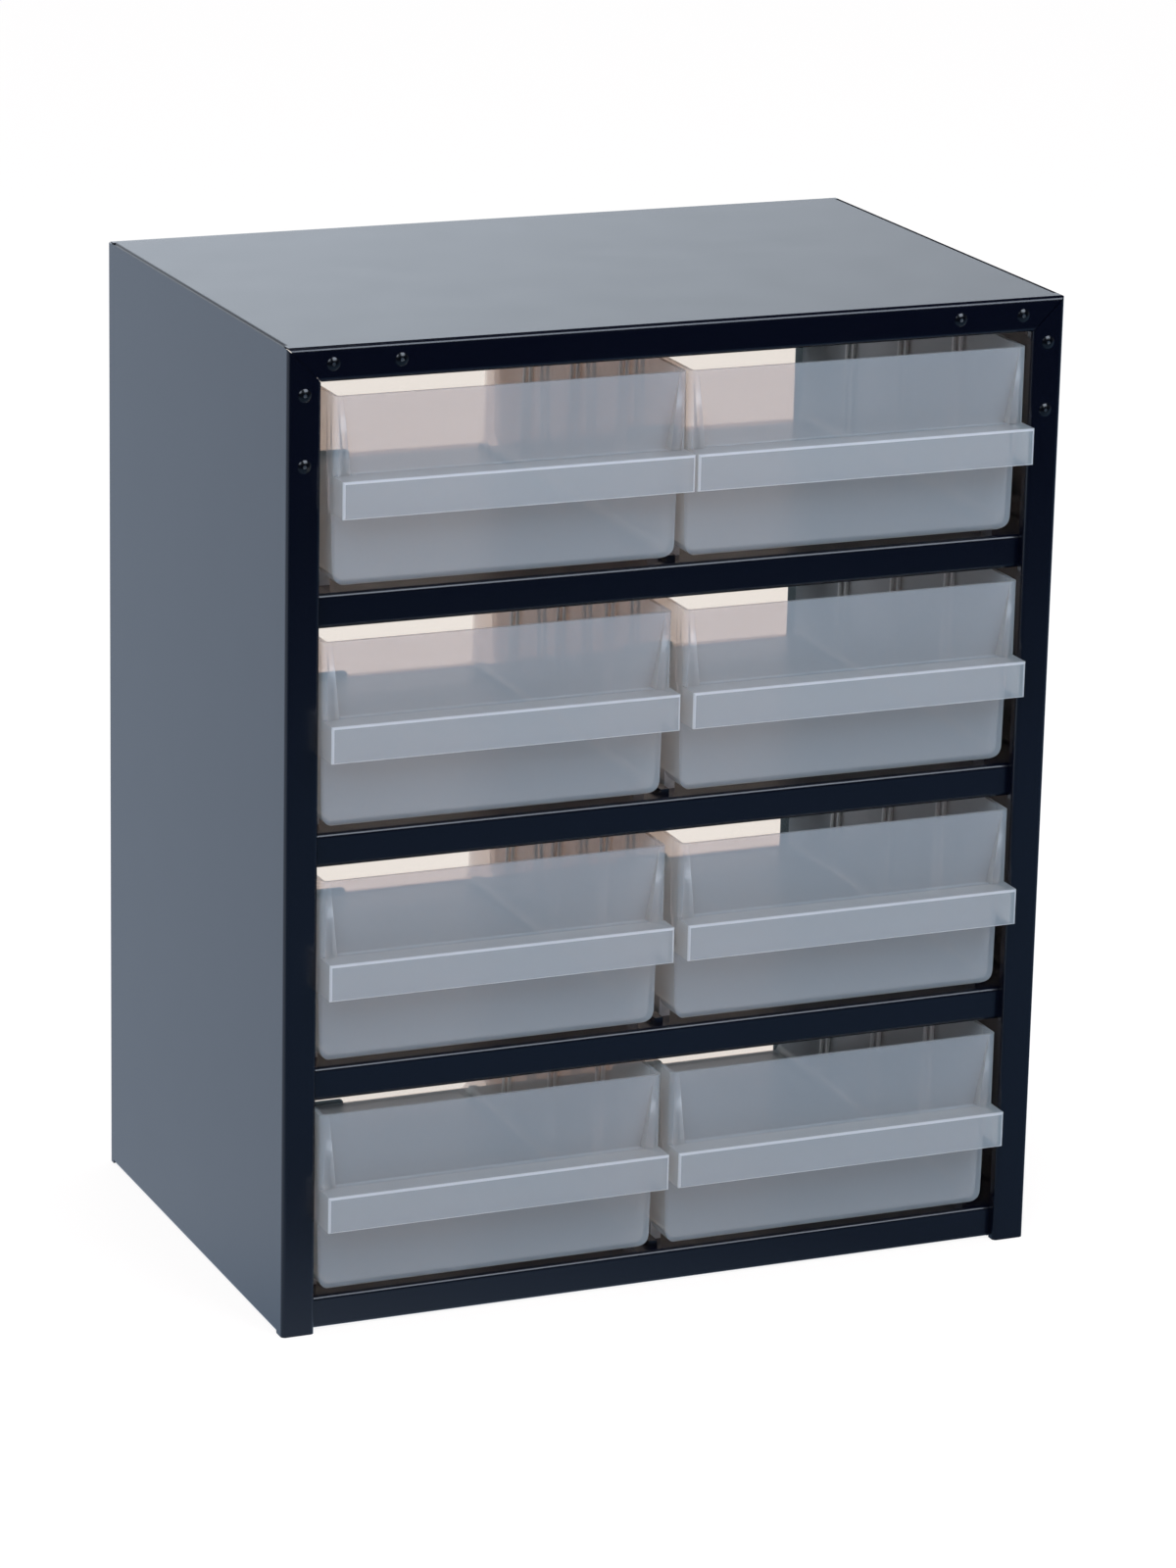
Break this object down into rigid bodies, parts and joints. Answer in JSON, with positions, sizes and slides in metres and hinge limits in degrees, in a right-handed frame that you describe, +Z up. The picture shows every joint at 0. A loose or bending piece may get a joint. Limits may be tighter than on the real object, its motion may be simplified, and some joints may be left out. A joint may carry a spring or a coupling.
{
  "type": "small parts drawer cabinet",
  "caption": "Open-backed sheet-steel cabinet with riveted corners and shelves that carry side-by-side translucent plastic drawers with full-width finger pulls.",
  "frame": {"origin": "middle of the cabinet's footprint, handles and rear rivet heads included, on the floor", "axes": "+Z up, -Y the way the drawers open, +X to the right of someone facing the drawers"},
  "size_m": [0.357, 0.2481, 0.4345],
  "materials": {
    "cabinet_steel": "satin navy powder coat",
    "rivet_steel": "satin black",
    "drawer_plastic": "translucent milky polypropylene"
  },
  "bodies": {
    "cabinet": {"top_panel": "cabinet_steel", "left_side_panel": "cabinet_steel", "right_side_panel": "cabinet_steel", "upper_shelf": "cabinet_steel", "middle_shelf": "cabinet_steel", "lower_shelf": "cabinet_steel", "bottom_shelf": "cabinet_steel", "upper_guide": "cabinet_steel", "middle_guide": "cabinet_steel", "lower_guide": "cabinet_steel", "bottom_guide": "cabinet_steel", "front_left_gusset": "cabinet_steel", "front_right_gusset": "cabinet_steel", "rear_left_gusset": "cabinet_steel", "rear_right_gusset": "cabinet_steel", "front_left_rivets": "rivet_steel", "front_right_rivets": "rivet_steel", "rear_left_rivets": "rivet_steel", "rear_right_rivets": "rivet_steel"},
    "drawer_1_left": {"drawer_1_left": "drawer_plastic"},
    "drawer_1_right": {"drawer_1_right": "drawer_plastic"},
    "drawer_2_left": {"drawer_2_left": "drawer_plastic"},
    "drawer_2_right": {"drawer_2_right": "drawer_plastic"},
    "drawer_3_left": {"drawer_3_left": "drawer_plastic"},
    "drawer_3_right": {"drawer_3_right": "drawer_plastic"},
    "drawer_4_left": {"drawer_4_left": "drawer_plastic"},
    "drawer_4_right": {"drawer_4_right": "drawer_plastic"}
  },
  "joints": [
    {"name": "drawer_1_left_slide", "type": "slide", "parent": "cabinet", "child": "drawer_1_left", "axis": [0, -1, 0], "range_m": [0, 0.206]},
    {"name": "drawer_1_right_slide", "type": "slide", "parent": "cabinet", "child": "drawer_1_right", "axis": [0, -1, 0], "range_m": [0, 0.206]},
    {"name": "drawer_2_left_slide", "type": "slide", "parent": "cabinet", "child": "drawer_2_left", "axis": [0, -1, 0], "range_m": [0, 0.206]},
    {"name": "drawer_2_right_slide", "type": "slide", "parent": "cabinet", "child": "drawer_2_right", "axis": [0, -1, 0], "range_m": [0, 0.206]},
    {"name": "drawer_3_left_slide", "type": "slide", "parent": "cabinet", "child": "drawer_3_left", "axis": [0, -1, 0], "range_m": [0, 0.206]},
    {"name": "drawer_3_right_slide", "type": "slide", "parent": "cabinet", "child": "drawer_3_right", "axis": [0, -1, 0], "range_m": [0, 0.206]},
    {"name": "drawer_4_left_slide", "type": "slide", "parent": "cabinet", "child": "drawer_4_left", "axis": [0, -1, 0], "range_m": [0, 0.206]},
    {"name": "drawer_4_right_slide", "type": "slide", "parent": "cabinet", "child": "drawer_4_right", "axis": [0, -1, 0], "range_m": [0, 0.206]}
  ]
}
